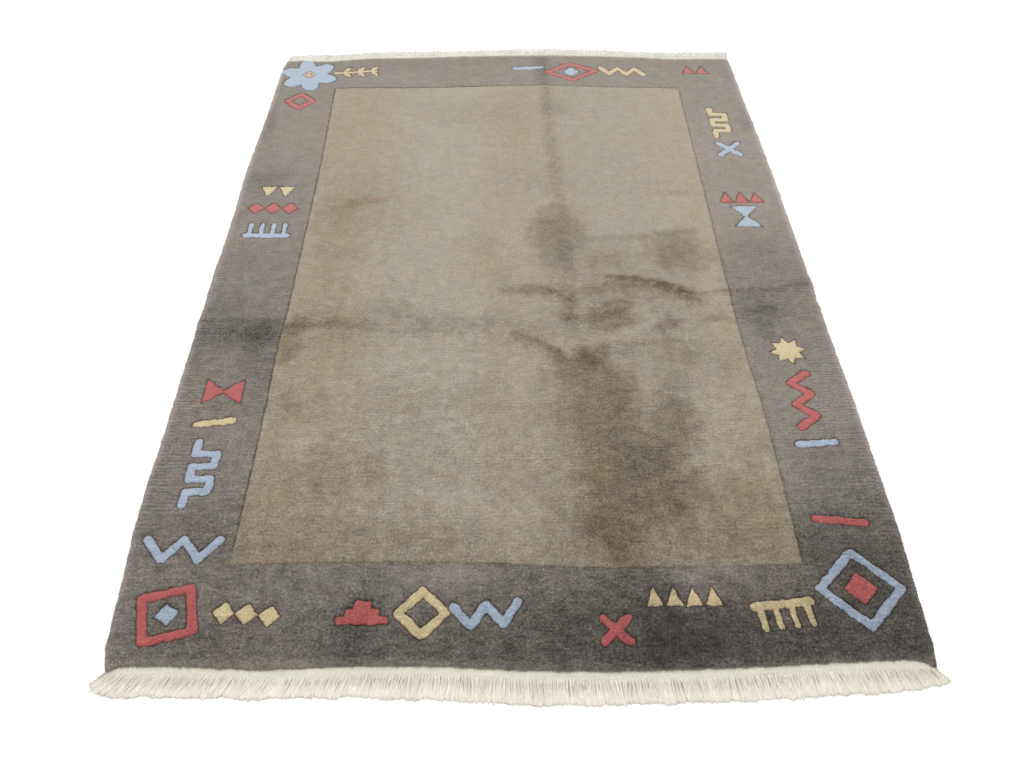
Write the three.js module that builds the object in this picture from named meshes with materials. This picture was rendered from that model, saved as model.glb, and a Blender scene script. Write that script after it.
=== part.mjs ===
// A hand-knotted wool rug lying flat. Millimetres, +Z up, +X to the right, +Y from the near end to the far end.
//
// The rug is one knotted sheet with a comb of cotton warp ends along each end. It was stored folded, so low
// ridges cross it. The origin is on the floor, in the middle of the rug's footprint.

import * as THREE from 'three';
import { mergeVertices } from 'three/addons/utils/BufferGeometryUtils.js';

// ---------- driving dimensions ----------

const PILE_THICKNESS = 13;        // foundation and pile together
const FRINGE_THICKNESS = 4;       // one layer of cotton yarns on the floor
const WEB_WIDTH = 17;             // flat-woven band between the pile and the loose warp ends
const PIECE_GAP = 0.3;            // between the knotted sheet and each fringe
const TOOTH_COUNT = 54;           // bundles of warp ends in a fringe
const TOOTH_SHARE = 0.62;         // width of a bundle over the distance between bundles
const REACH_WOBBLE = 2.5;         // how unevenly the bundles were trimmed

// The long edges: how far the sheet reaches to each side of the middle line, by the share of its length.
const SIDE_EDGES = [
  { along: 0.00, left: -830, right: 842 },
  { along: 0.02, left: -842, right: 850 },
  { along: 0.08, left: -854, right: 857 },
  { along: 0.20, left: -864, right: 863 },
  { along: 0.35, left: -862, right: 862 },
  { along: 0.46, left: -863, right: 858 },
  { along: 0.50, left: -862, right: 861 },
  { along: 0.62, left: -858, right: 859 },
  { along: 0.70, left: -860, right: 858 },
  { along: 0.82, left: -851, right: 852 },
  { along: 0.92, left: -848, right: 845 },
  { along: 0.98, left: -841, right: 842 },
  { along: 1.00, left: -830, right: 837 },
];

// The two ends, by the share of the width from left to right.
const END_EDGES = [
  { across: 0.00, near: -1202, far: 1161 },
  { across: 0.03, near: -1191, far: 1163 },
  { across: 0.10, near: -1189, far: 1160 },
  { across: 0.20, near: -1197, far: 1184 },
  { across: 0.30, near: -1193, far: 1190 },
  { across: 0.40, near: -1196, far: 1198 },
  { across: 0.50, near: -1206, far: 1206 },
  { across: 0.60, near: -1211, far: 1209 },
  { across: 0.70, near: -1207, far: 1203 },
  { across: 0.80, near: -1199, far: 1196 },
  { across: 0.87, near: -1194, far: 1184 },
  { across: 0.95, near: -1192, far: 1191 },
  { across: 1.00, near: -1210, far: 1190 },
];

// Low ridges where the rug was folded. Each runs straight between two points and fades out at its half width.
const FOLD_RIDGES = [
  { name: 'crosswise fold, right', from: [500, -122], to: [900, -66], halfWidth: 48, height: 8 },
  { name: 'its near side line', from: [610, -192], to: [900, -168], halfWidth: 36, height: 4 },
  { name: 'crosswise fold, left', from: [-900, -236], to: [-420, -246], halfWidth: 60, height: 5 },
  { name: 'crosswise fold, middle', from: [-420, -246], to: [-60, -262], halfWidth: 46, height: 3 },
  { name: 'curved wrinkle, start', from: [262, -36], to: [410, -64], halfWidth: 40, height: 7 },
  { name: 'curved wrinkle, end', from: [410, -64], to: [512, -122], halfWidth: 42, height: 8 },
  { name: 'slanting wrinkle', from: [4, -274], to: [126, -352], halfWidth: 38, height: 6 },
  { name: 'short wrinkle', from: [190, -216], to: [300, -150], halfWidth: 36, height: 5 },
  { name: 'lengthwise fold', from: [130, 1110], to: [148, -190], halfWidth: 42, height: 4 },
];

// How far the warp ends reach past the sheet, and how far their tips lean outwards.
const NEAR_FRINGE = [
  { across: 0.00, reach: 38, lean: -36 },
  { across: 0.03, reach: 57, lean: -30 },
  { across: 0.08, reach: 65, lean: -26 },
  { across: 0.20, reach: 63, lean: -20 },
  { across: 0.35, reach: 66, lean: -8 },
  { across: 0.50, reach: 69, lean: 0 },
  { across: 0.65, reach: 66, lean: 6 },
  { across: 0.80, reach: 64, lean: 14 },
  { across: 0.95, reach: 62, lean: 20 },
  { across: 1.00, reach: 36, lean: 24 },
];
const FAR_FRINGE = [
  { across: 0.00, reach: 48, lean: 2 },
  { across: 0.06, reach: 60, lean: 4 },
  { across: 0.15, reach: 68, lean: -4 },
  { across: 0.30, reach: 66, lean: 5 },
  { across: 0.50, reach: 70, lean: -3 },
  { across: 0.65, reach: 60, lean: 4 },
  { across: 0.78, reach: 58, lean: -5 },
  { across: 0.90, reach: 66, lean: 6 },
  { across: 1.00, reach: 70, lean: 8 },
];

// Grid lines of the sheet, closer together where the wrinkles are.
const ROW_BANDS = [
  { from: 0, to: 0.34, steps: 7 },
  { from: 0.34, to: 0.53, steps: 17 },
  { from: 0.53, to: 1, steps: 9 },
];
const COLUMN_BANDS = [
  { from: 0, to: 0.48, steps: 8 },
  { from: 0.48, to: 0.80, steps: 19 },
  { from: 0.80, to: 1, steps: 4 },
];

const COLOURS = { pile: 0x9d9482, cotton: 0xdcd7c8 };

// ---------- helpers ----------

/** Value of one named column of a table at a share between 0 and 1, straight between its rows. */
function lookUp(table, keyName, columnName, share) {
  const upper = Math.max(1, table.findIndex((row) => row[keyName] >= share));
  const before = table[upper - 1];
  const after = table[upper];
  const part = (share - before[keyName]) / (after[keyName] - before[keyName]);
  return THREE.MathUtils.lerp(before[columnName], after[columnName], part);
}

/** Shares from 0 to 1 with the step sizes that the bands give. */
function stations(bands) {
  const shares = [0];
  for (const band of bands) {
    for (let step = 1; step <= band.steps; step += 1) {
      shares.push(THREE.MathUtils.lerp(band.from, band.to, step / band.steps));
    }
  }
  return shares;
}

/** Place on the floor of a point given by its share of the width and its share of the length. */
function onRug(across, along) {
  const left = lookUp(SIDE_EDGES, 'along', 'left', along);
  const right = lookUp(SIDE_EDGES, 'along', 'right', along);
  const near = lookUp(END_EDGES, 'across', 'near', across);
  const far = lookUp(END_EDGES, 'across', 'far', across);
  return new THREE.Vector2(THREE.MathUtils.lerp(left, right, across), THREE.MathUtils.lerp(near, far, along));
}

/** Height of the fold ridges over one place, 0 where the rug lies flat. */
function foldLift(place) {
  let lift = 0;
  for (const ridge of FOLD_RIDGES) {
    const start = new THREE.Vector2(...ridge.from);
    const run = new THREE.Vector2(...ridge.to).sub(start);
    const share = THREE.MathUtils.clamp(place.clone().sub(start).dot(run) / run.lengthSq(), 0, 1);
    const away = place.distanceTo(start.addScaledVector(run, share)) / ridge.halfWidth;
    if (away < 1) {
      lift = Math.max(lift, ridge.height * (1 - away ** 2) ** 2);
    }
  }
  return lift;
}

function meshOf(name, geometry, colour, roughness) {
  const material = new THREE.MeshStandardMaterial({ color: colour, roughness, metalness: 0 });
  const mesh = new THREE.Mesh(geometry, material);
  mesh.name = name;
  return mesh;
}

// ---------- the knotted sheet ----------

/** One closed sheet: a top and an underside with the same ridges, joined by a wall round the outline. */
function pileRug() {
  const columns = stations(COLUMN_BANDS);
  const rows = stations(ROW_BANDS);
  const positions = [];
  for (const height of [0, PILE_THICKNESS]) {
    for (const along of rows) {
      for (const across of columns) {
        const place = onRug(across, along);
        positions.push(place.x, place.y, height + foldLift(place));
      }
    }
  }

  const pointsPerLayer = columns.length * rows.length;
  const point = (layer, row, column) => layer * pointsPerLayer + row * columns.length + column;
  const triangles = [];
  const addQuad = (a, b, c, d) => triangles.push(a, b, c, a, c, d);
  const lastRow = rows.length - 1;
  const lastColumn = columns.length - 1;

  for (let row = 0; row < lastRow; row += 1) {
    for (let column = 0; column < lastColumn; column += 1) {
      addQuad(point(1, row, column), point(1, row, column + 1),
        point(1, row + 1, column + 1), point(1, row + 1, column));
      addQuad(point(0, row, column), point(0, row + 1, column),
        point(0, row + 1, column + 1), point(0, row, column + 1));
    }
  }
  for (let column = 0; column < lastColumn; column += 1) {
    addQuad(point(0, 0, column), point(0, 0, column + 1), point(1, 0, column + 1), point(1, 0, column));
    addQuad(point(0, lastRow, column + 1), point(0, lastRow, column),
      point(1, lastRow, column), point(1, lastRow, column + 1));
  }
  for (let row = 0; row < lastRow; row += 1) {
    addQuad(point(0, row + 1, 0), point(0, row, 0), point(1, row, 0), point(1, row + 1, 0));
    addQuad(point(0, row, lastColumn), point(0, row + 1, lastColumn),
      point(1, row + 1, lastColumn), point(1, row, lastColumn));
  }

  const geometry = new THREE.BufferGeometry();
  geometry.setAttribute('position', new THREE.Float32BufferAttribute(positions, 3));
  geometry.setIndex(triangles);
  geometry.computeVertexNormals();
  return meshOf('pile_rug', geometry, COLOURS.pile, 0.95);
}

// ---------- the fringes ----------

/** Outline of a comb: the web's edge against the sheet, then the bundles of warp ends one after another. */
function combOutline(fringeTable, along, outward) {
  const place = (across, reach, lean) => {
    const edge = onRug(across, along);
    return new THREE.Vector2(edge.x + lean, edge.y + outward * reach);
  };
  const reachAt = (across) => lookUp(fringeTable, 'across', 'reach', across);
  const leanAt = (across) => lookUp(fringeTable, 'across', 'lean', across);
  const leanAtWeb = (across) => leanAt(across) * WEB_WIDTH / reachAt(across);

  const outline = stations(COLUMN_BANDS).map((across) => place(across, PIECE_GAP, 0));
  const pitch = 1 / TOOTH_COUNT;
  const halfTooth = pitch * TOOTH_SHARE / 2;
  for (let tooth = TOOTH_COUNT - 1; tooth >= 0; tooth -= 1) {
    const middle = (tooth + 0.5) * pitch;
    const reach = reachAt(middle) + REACH_WOBBLE * Math.sin(2.4 * tooth);
    const lean = leanAt(middle);
    outline.push(place(middle + halfTooth, WEB_WIDTH, leanAtWeb(middle)));
    outline.push(place(middle + halfTooth, reach, lean));
    outline.push(place(middle - halfTooth, reach, lean));
    outline.push(place(middle - halfTooth, WEB_WIDTH, leanAtWeb(middle)));
  }
  return outline;
}

/** One fringe: the comb's outline with an even thickness, lying on the floor. */
function fringe(name, fringeTable, along, outward) {
  const shape = new THREE.Shape(combOutline(fringeTable, along, outward));
  const extruded = new THREE.ExtrudeGeometry(shape, { depth: FRINGE_THICKNESS, bevelEnabled: false });
  extruded.deleteAttribute('normal');
  extruded.deleteAttribute('uv');
  const geometry = mergeVertices(extruded);
  geometry.computeVertexNormals();
  return meshOf(name, geometry, COLOURS.cotton, 0.9);
}

// ---------- the rug ----------

const rug = new THREE.Group();
rug.add(pileRug());
rug.add(fringe('fringe_near', NEAR_FRINGE, 0, -1));
rug.add(fringe('fringe_far', FAR_FRINGE, 1, 1));

const footprint = new THREE.Box3().setFromObject(rug).getCenter(new THREE.Vector3());
rug.position.set(-footprint.x, -footprint.y, 0);

export default rug;
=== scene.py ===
import functools
import itertools
import math

import bpy
import numpy as np
from mathutils import Matrix, Vector


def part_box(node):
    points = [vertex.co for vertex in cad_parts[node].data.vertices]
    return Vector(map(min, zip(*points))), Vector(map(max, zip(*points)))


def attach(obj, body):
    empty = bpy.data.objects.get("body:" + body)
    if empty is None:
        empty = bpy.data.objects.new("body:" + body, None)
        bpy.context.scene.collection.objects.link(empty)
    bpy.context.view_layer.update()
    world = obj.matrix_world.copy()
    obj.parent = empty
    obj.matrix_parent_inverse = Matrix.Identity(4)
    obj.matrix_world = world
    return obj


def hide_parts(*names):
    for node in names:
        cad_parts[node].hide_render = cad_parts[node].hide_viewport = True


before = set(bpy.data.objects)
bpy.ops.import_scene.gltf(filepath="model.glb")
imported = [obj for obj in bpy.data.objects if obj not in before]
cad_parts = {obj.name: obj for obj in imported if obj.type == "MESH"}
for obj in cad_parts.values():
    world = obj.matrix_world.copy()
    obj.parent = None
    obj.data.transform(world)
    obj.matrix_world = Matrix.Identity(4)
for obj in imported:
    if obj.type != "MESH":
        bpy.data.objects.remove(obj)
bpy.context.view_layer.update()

# A hand-knotted wool rug lying on a white studio floor, in metres, +Z up, +Y towards its far end.
# One grid of knots covers the whole rug. The field and the four border strips are cut out of it, so they
# meet exactly. Tables with named columns place the outline, the folds, the pile's painted light and shade
# and the motifs.

PER_UNIT = {"mm": 1000, "%": 100}


def table(columns, rows):
    """The rows of a table, each by the names of its columns.

    A column given in mm or % is kept in metres or as a share. Columns left out at the end of a row are 0.
    """
    named_rows = []
    for row in rows:
        named = {}
        for column, value in itertools.zip_longest(columns.split(), row, fillvalue=0):
            name, _, unit = column.partition("/")
            named[name] = np.divide(value, PER_UNIT[unit]).tolist() if unit else value
        named_rows.append(named)
    return named_rows


# ---------- the rug's outline ----------

# Long edges, by the share of the rug's length.
SIDE_EDGES = table("along/% left/mm right/mm", [
    (0, -829, 842),
    (2, -842, 849),
    (10, -852, 857),
    (13, -858, 862),
    (20, -861, 862),
    (23, -858, 862),
    (30, -858, 863),
    (36, -858, 860),
    (40, -857, 859),
    (44, -857, 858),
    (50, -858, 859),
    (55, -854, 859),
    (62, -853, 858),
    (70, -856, 857),
    (82, -845, 851),
    (87, -842, 846),
    (92, -841, 844),
    (98, -837, 841),
    (100, -829, 837),
])
# Ends, by the share of the rug's width from left to right.
END_EDGES = table("across/% near/mm far/mm", [
    (0, -1198, 1161),
    (1.4, -1190, 1163),
    (3, -1187, 1163),
    (10, -1188, 1160),
    (20, -1197, 1184),
    (30, -1190, 1191),
    (40, -1192, 1203),
    (50, -1202, 1211),
    (60, -1206, 1215),
    (70, -1203, 1210),
    (80, -1197, 1201),
    (87, -1191, 1190),
    (96, -1186, 1195),
    (98.5, -1190, 1196),
    (100, -1203, 1195),
])
# The carved line between field and border.
FIELD_SIDES = table("along/% left/mm right/mm", [
    (10, -629, 624),
    (20, -626, 626),
    (29, -626, 625),
    (36, -629, 618),
    (42, -624, 614),
    (55, -622, 616),
    (72, -620, 618),
    (90, -628, 620),
])
FIELD_ENDS = table("across/% near/mm far/mm", [
    (14, -965, 970),
    (21, -963, 975),
    (30, -961, 975),
    (38, -961, 981),
    (47, -966, 992),
    (55, -976, 996),
    (62, -980, 995),
    (70, -978, 987),
    (78, -977, 984),
    (86, -973, 983),
])
FIELD_ACROSS = (0.138, 0.858)
FIELD_ALONG = (0.098, 0.914)

OUTLINE_MIDDLE = (-0.0005, -0.0010, 0)      # of the CAD sheet, in the tables' coordinates

# Low ridges where the rug was folded, as in the CAD sheet.
FOLD_RIDGES = table("from/mm to/mm half_width/mm height/mm", [
    ((500, -122), (900, -66), 48, 8),
    ((610, -192), (900, -168), 36, 4),
    ((-900, -236), (-420, -246), 60, 5),
    ((-420, -246), (-60, -262), 46, 3),
    ((262, -36), (410, -64), 40, 7),
    ((410, -64), (512, -122), 42, 8),
    ((4, -274), (126, -352), 38, 6),
    ((190, -216), (300, -150), 36, 5),
    ((130, 1110), (148, -190), 42, 4),
])
SURFACE_SWELL = 0.0005          # unevenness of the pile's height away from the folds

# ---------- the grid of knots ----------

SIDE_COLUMNS = 84
FIELD_COLUMNS = 440
NEAR_ROWS = 82
FIELD_ROWS = 700
FAR_ROWS = 70
FIELD_STEP = 2                  # the plain field needs only every second row and column
COLUMN_BREAKS = (0, SIDE_COLUMNS, SIDE_COLUMNS + FIELD_COLUMNS, 2 * SIDE_COLUMNS + FIELD_COLUMNS)
ROW_BREAKS = (0, NEAR_ROWS, NEAR_ROWS + FIELD_ROWS, NEAR_ROWS + FIELD_ROWS + FAR_ROWS)
KNOT_PITCH = 0.00284

PILE_TOP = 0.0126               # height of the tips above the floor
FIELD_CARVE = 0.0018            # depth of the groove clipped round the field
MOTIF_CARVE = 0.0030            # and of those round the motifs
MOTIF_CARVE_OFF = 0.0008        # these lie just outside the motifs
CARVE_HALF_WIDTH = 0.0026
MOTIF_PUFF = 0.0004             # how far a motif's tips stand proud
PUFF_WIDTH = 0.004
EDGE_ROUND = 0.010              # the pile slopes down over this width at the rug's edge
EDGE_DROP = 0.0030
TUFT_JITTER = 0.00042
KNOT_JITTER = 0.0002
RIM_LIGHT = 0.24                # painted light: the splayed pile along the rug's edge shows lighter
RIM_LIGHT_WIDTH = 0.018
CUT_SIDE_PAINTED_LIGHT = 1.30                 # painted light on the pile's cut sides, which get little light of their own
FOUNDATION_THICKNESS = 0.0022

# ---------- the cotton ends ----------

# How far the loose warp ends reach from the pile, and how far their tips lean to the right.
NEAR_FRINGE = table("across/% reach/mm lean/mm", [
    (0, 34, -32),
    (1, 47, -31),
    (3, 64, -27),
    (8, 65, -21),
    (22, 60, -18),
    (35, 69, -8),
    (50, 72, 0),
    (65, 69, 6),
    (80, 70, 10),
    (95, 68, 12),
    (99, 48, 18),
    (100, 29, 20),
])
FAR_FRINGE = table("across/% reach/mm lean/mm", [
    (0, 51, 2),
    (6, 62, 4),
    (15, 62, -4),
    (28, 63, 5),
    (38, 56, -2),
    (45, 56, 1),
    (53, 65, -3),
    (60, 60, 2),
    (68, 63, 4),
    (78, 57, -5),
    (90, 65, 6),
    (100, 64, 8),
])
# Outward is the way of +Y or -Y, ragged is how unevenly the ends were cut and gaps how dark the painted
# shade between them is.
ENDS = {
    "near": {"fringe": NEAR_FRINGE, "outward": -1, "along": 0, "ragged": 0.02, "gaps": 1.0, "seed": 1},
    "far": {"fringe": FAR_FRINGE, "outward": 1, "along": 1, "ragged": 0.08, "gaps": 0.2, "seed": 2},
}

WEB_WIDTH = 0.020               # flat-woven cotton band between the pile and the loose warp ends
WEB_COLUMNS = 560
WEB_EDGE = 0.014                # its outer edge is ragged from here on
WEB_RAGGED = 0.0004
WEB_TAPER = 0.022               # share of the rug's width over which it narrows towards a corner
WEB_NARROWEST = 0.30
# Section of the band, round from under the pile.
WEB_SECTION = table("out/mm up/mm", [
    (-6, 2.2),
    (0, 2.7),
    (5, 2.9),
    (10, 2.9),
    (14, 2.8),
    (17.5, 2.6),
    (20, 2.1),
    (20.6, 1.2),
    (19, 0.4),
    (-6, 0.4),
])

# Layers of loose warp ends from the floor up: wide ones that close the gaps, then single strands in pairs,
# then a few that lie across them. The spread is of their tips, the drift how far neighbours lean together,
# the length a share of the fringe's, and the gap the painted shade at their sides.
STRAND_LAYERS = table("count half_width/mm flatness/% rise/mm spread/mm drift/mm length/% tone/% gap/%", [
    (250, 6.4, 16, 0, 0.4, 0, 97, 97, 22),
    (510, 1.5, 65, 1.2, 1, 4.2, 100, 101, 5),
    (160, 1.5, 65, 2.6, 6, 17, 93, 100, 8),
])
PAIRED = 0.20                   # how far the strands of a pair lie together, as a share of their spacing
GAP_MIDDLE = 0.28               # the painted shade in the gaps is darkest at this share of a strand's length
GAP_REACH = 0.28
TWIST_LENGTH = 0.014            # along a strand for one turn of its two yarns
YARN_BULGE = 0.14               # how far the two yarns stand out, as a share of the strand's half width
WEB_OVERLAP = 0.0025            # the strands start this far inside the band
STRAND_SHIFT = 0.09             # a strand's shift to the side, as a share of the spacing
STRAND_BEND = 0.0010
STRAND_RIPPLE = 0.0005
STRAND_CUT = 0.013              # unevenness of the lengths and of the brightness of single strands
STRAND_SHADE = 0.016
TIP_ROUND = 0.07                # share of a strand's length over which its tip narrows
LIES_OVER_FLOOR = 0.0002
STARTS_HIGHER = 0.0016          # at the band, where the warps leave it
STRAND_SEGMENTS = 12
STRAND_SIDES = 6


# ---------- helpers for arrays ----------

def look_up(rows, column, value):
    """One named column of a table at a value of its first column, straight between its rows."""
    key = next(iter(rows[0]))
    return np.interp(value, [row[key] for row in rows], [row[column] for row in rows])


def blend(start, end, share):
    return start + (end - start) * share


def unit(vectors):
    return vectors / np.linalg.norm(vectors, axis=-1, keepdims=True)


def right_of(ahead):
    """Floor directions turned a quarter to the right."""
    return np.stack([ahead[..., 1], -ahead[..., 0]], -1)


def soft_step(value):
    """0 below 0, 1 above 1, smooth between."""
    value = np.clip(value, 0, 1)
    return value * value * (3 - 2 * value)


def turned(east, north, degrees):
    """Offsets measured along axes that are turned to the left."""
    cosine, sine = math.cos(math.radians(degrees)), math.sin(math.radians(degrees))
    return east * cosine + north * sine, north * cosine - east * sine


def wander(value, seed, wavelength, amount):
    """A smooth uneven line: three sine waves of about one wavelength, with phases from the seed."""
    phases = np.random.default_rng(seed).uniform(0, math.tau, 3)
    waves = [np.sin(math.tau * np.asarray(value) / (wavelength * part) + phase)
             for part, phase in zip((1.0, 0.61, 0.37), phases)]
    return amount * sum(waves) / 2


def smooth_noise(x, y, seed, wavelength):
    """A smooth uneven field between about -1 and 1, from waves in seeded directions."""
    rng = np.random.default_rng(seed)
    total = np.zeros_like(x)
    for _ in range(7):
        angle = rng.uniform(0, math.tau)
        length = wavelength * rng.uniform(0.55, 1.6)
        phase = rng.uniform(0, math.tau)
        total += np.sin(math.tau * (x * math.cos(angle) + y * math.sin(angle)) / length + phase)
    return total / 3.2


def displaced(x, y, waves):
    """Points moved by smooth noise: rows of a size, a wavelength, and a seed for x and one for y."""
    moves = [[size * smooth_noise(x, y, seeds[axis], wavelength) for size, wavelength, *seeds in waves]
             for axis in range(2)]
    return x + sum(moves[0]), y + sum(moves[1])


def segment_distance(x, y, start, end):
    """Distance from each point to the straight line between start and end."""
    run = np.subtract(end, start)
    share = ((x - start[0]) * run[0] + (y - start[1]) * run[1]) / max(float(run @ run), 1e-12)
    share = np.clip(share, 0, 1)
    return np.hypot(x - start[0] - share * run[0], y - start[1] - share * run[1])


def path_distance(x, y, points):
    """Distance from each point to the nearest stretch of a path."""
    return np.minimum.reduce([segment_distance(x, y, a, b) for a, b in zip(points, points[1:])])


# ---------- the knots' places ----------

def band_weights(breaks):
    """For each grid line from the first break to the last, the weights of the two breaks beside it."""
    lines = np.arange(breaks[0], breaks[-1] + 1)
    return np.stack([np.interp(lines, breaks, one) for one in np.eye(len(breaks))], 1)


def guide_lines(share, guides):
    """The uneven lines the grid follows: a table and its column, and a seed, wavelength and size."""
    return np.stack([look_up(rows, column, share) + wander(share, seed, wavelength, size)
                     for rows, column, seed, wavelength, size in guides])


def place_grid():
    """Place of every knot on the floor, as two arrays of rows by columns."""
    along = np.interp(np.arange(ROW_BREAKS[-1] + 1), ROW_BREAKS, (0, *FIELD_ALONG, 1))
    across = np.interp(np.arange(COLUMN_BREAKS[-1] + 1), COLUMN_BREAKS, (0, *FIELD_ACROSS, 1))
    sides = guide_lines(along, [
        (SIDE_EDGES, "left", 1, 0.045, 0.0007),
        (FIELD_SIDES, "left", 2, 0.06, 0.0007),
        (FIELD_SIDES, "right", 3, 0.06, 0.0007),
        (SIDE_EDGES, "right", 4, 0.045, 0.0007),
    ])
    ends = guide_lines(across, [
        (END_EDGES, "near", 5, 0.05, 0.0009),
        (FIELD_ENDS, "near", 6, 0.07, 0.0007),
        (FIELD_ENDS, "far", 7, 0.07, 0.0007),
        (END_EDGES, "far", 8, 0.05, 0.0009),
    ])
    x = sides.T @ band_weights(COLUMN_BREAKS).T
    y = band_weights(ROW_BREAKS) @ ends
    return x + box_shift.x, y + box_shift.y


low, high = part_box("pile_rug")
box_shift = (low + high) / 2 - Vector(OUTLINE_MIDDLE)


def fold_lift(x, y):
    """Height of the fold ridges, 0 where the rug lies flat."""
    lift = np.zeros_like(x)
    for ridge in FOLD_RIDGES:
        away = segment_distance(x, y, ridge["from"], ridge["to"]) / ridge["half_width"]
        lift = np.maximum(lift, ridge["height"] * np.clip(1 - away ** 2, 0, 1) ** 2)
    return lift


# ---------- the motifs, as lists of shapes in mm ----------

LINE = 20                       # width of a knotted line
MOTIF_COLOURS = ("red", "blue", "cream")


def line(points, width=LINE, closed=False):
    points = list(points)
    return {"points": points + points[:1] if closed else points, "width": width}


def area(points):
    """A filled shape, which has no line width."""
    return line(points, 0, closed=True)


def ring_of_points(count, radii, squeeze=1.0):
    """Points round a centre, with the radii taken in turn."""
    angles = [math.tau * i / count for i in range(count)]
    return [(radius * math.sin(angle), squeeze * radius * math.cos(angle))
            for angle, radius in zip(angles, itertools.cycle(radii))]


def star(radius):
    return [area(ring_of_points(16, (radius, 0.6 * radius)))]


def diamond(radius):
    return diamond_row(1, radius)


def diamond_ring(radius, squeeze=1.0):
    return [line(ring_of_points(4, (radius,), squeeze), closed=True)]


def diamond_row(count, radius):
    return [area([(x + (2 * i - count + 1) * radius, y) for x, y in ring_of_points(4, (radius,))])
            for i in range(count)]


def zigzag(steps, step, height):
    return [line([((i - steps / 2) * step, height / 2 * (-1) ** i) for i in range(steps + 1)])]


def square_wave(steps, step, height):
    """A plain battlement line."""
    return [line([((i + end - steps / 2) * step, height / 2 * (-1) ** i)
                  for i in range(steps) for end in (0, 1)])]


def hourglass(half_width, half_height):
    upper = [(-half_width, half_height), (half_width, half_height), (4, 0), (-4, 0)]
    return [area(upper), area([(x, -y) for x, y in upper])]


def triangle_row(count, base, height):
    middles = [(i - (count - 1) / 2) * base for i in range(count)]
    return [area([(x - 0.45 * base, -height / 2), (x + 0.45 * base, -height / 2), (x, height / 2)])
            for x in middles]


def stepped_triangle(steps, step):
    """A pyramid of square steps."""
    right = [((steps - i) * step, (i + end) * step) for i in range(steps) for end in (0, 1)]
    return [area(right + [(-x, y) for x, y in reversed(right)])]


def bar(length):
    return [line([(-length / 2, 0), (length / 2, 0)])]


def plus_cross(arm):
    return bar(2 * arm) + [line([(0, -arm), (0, arm)])]


def comb(teeth, pitch, height):
    half = (teeth - 1) * pitch / 2
    return [line([(-half - 10, height / 2), (half + 10, height / 2)])] + [
        line([(i * pitch - half, height / 2), (i * pitch - half, -height / 2)], 0.7 * LINE)
        for i in range(teeth)]


def rosette(petals, radius):
    petal = [(0.30 * radius * math.sin(t), 0.55 * radius - 0.45 * radius * math.cos(t))
             for t in np.linspace(0, math.tau, 13)[:-1]]
    return [area([turned(x, y, -360 * i / petals) for x, y in petal]) for i in range(petals)]


def sprig(length, pairs):
    """A stem with pairs of slanting leaves."""
    leaf = [(0, 0), (20, 4), (36, 30), (10, 22)]
    roots = [length * ((i + 0.6) / pairs - 0.5) for i in range(pairs)]
    return [line([(0, -length / 2), (0, length / 2)], 0.6 * LINE)] + [
        area([(side * x, root + y) for x, y in leaf]) for root in roots for side in (-1, 1)]


def square_ring(radius):
    return [line([(-radius, -radius), (radius, -radius), (radius, radius), (-radius, radius)], closed=True)]


# Where each motif is knotted. The turn is in degrees, to the left.
MOTIFS = table("colour shapes x/mm y/mm turn", [
    # far left corner
    ("blue", rosette(6, 108), -735, 1060, 12),
    ("cream", diamond(24), -735, 1065),
    ("cream", sprig(150, 3), -565, 1085, -84),
    ("red", diamond_ring(45), -742, 885),
    # far border
    ("red", diamond_ring(90, 0.62), 235, 1095, 4),
    ("blue", diamond(30), 235, 1095, 4),
    ("cream", zigzag(5, 32, 40), 425, 1100, -3),
    ("blue", bar(100), 75, 1120, 5),
    ("red", triangle_row(2, 52, 50), 700, 1110),
    # right border, far to near
    ("cream", square_wave(5, 34, 48), 735, 760, 90),
    ("blue", plus_cross(46), 740, 600, 45),
    ("red", triangle_row(3, 48, 52), 730, 335),
    ("blue", hourglass(42, 50), 730, 240),
    ("cream", star(50), 732, -330, 8),
    ("red", zigzag(5, 36, 46), 735, -500, 88),
    ("blue", bar(90), 735, -640, 4),
    # near right corner
    ("blue", diamond_ring(88), 735, -1030),
    ("red", diamond(38), 735, -1030),
    ("cream", comb(4, 34, 50), 560, -1090, 6),
    ("red", bar(110), 735, -860, -6),
    # near border
    ("red", stepped_triangle(3, 18), -330, -1105),
    ("cream", diamond_ring(50), -205, -1080),
    ("blue", zigzag(4, 34, 46), -70, -1085, 5),
    ("red", plus_cross(36), 200, -1120, 45),
    ("cream", triangle_row(4, 42, 46), 350, -1045),
    # near left corner
    ("red", square_ring(50), -735, -1080, 14),
    ("blue", diamond(26), -735, -1080, 14),
    ("cream", diamond_row(3, 24), -570, -1080, -5),
    ("blue", zigzag(4, 40, 50), -740, -925),
    # left border, near to far
    ("blue", square_wave(5, 36, 50), -742, -720, 90),
    ("cream", bar(85), -742, -570, 8),
    ("red", hourglass(40, 48), -740, -470, 90),
    ("blue", comb(4, 34, 52), -738, 170, 180),
    ("red", diamond_row(3, 26), -738, 275),
    ("cream", triangle_row(2, 56, 50), -738, 360, 180),
])


def polygon_distance(x, y, points):
    """Signed distance to a closed polygon, below 0 inside."""
    inside = np.zeros(x.shape, bool)
    for (ax, ay), (bx, by) in zip(points, points[1:]):
        if ay != by:
            crosses = (ay > y) != (by > y)
            inside ^= crosses & (x < (bx - ax) * (y - ay) / (by - ay) + ax)
    away = path_distance(x, y, points)
    return np.where(inside, -away, away)


FAR_AWAY = 0.02                 # signed distances are only kept up to here
KNOTTED_EDGE = [(0.0014, 0.034, 31, 32), (0.0006, 0.008, 33, 34)]       # unevenness of the motifs' outlines


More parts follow.
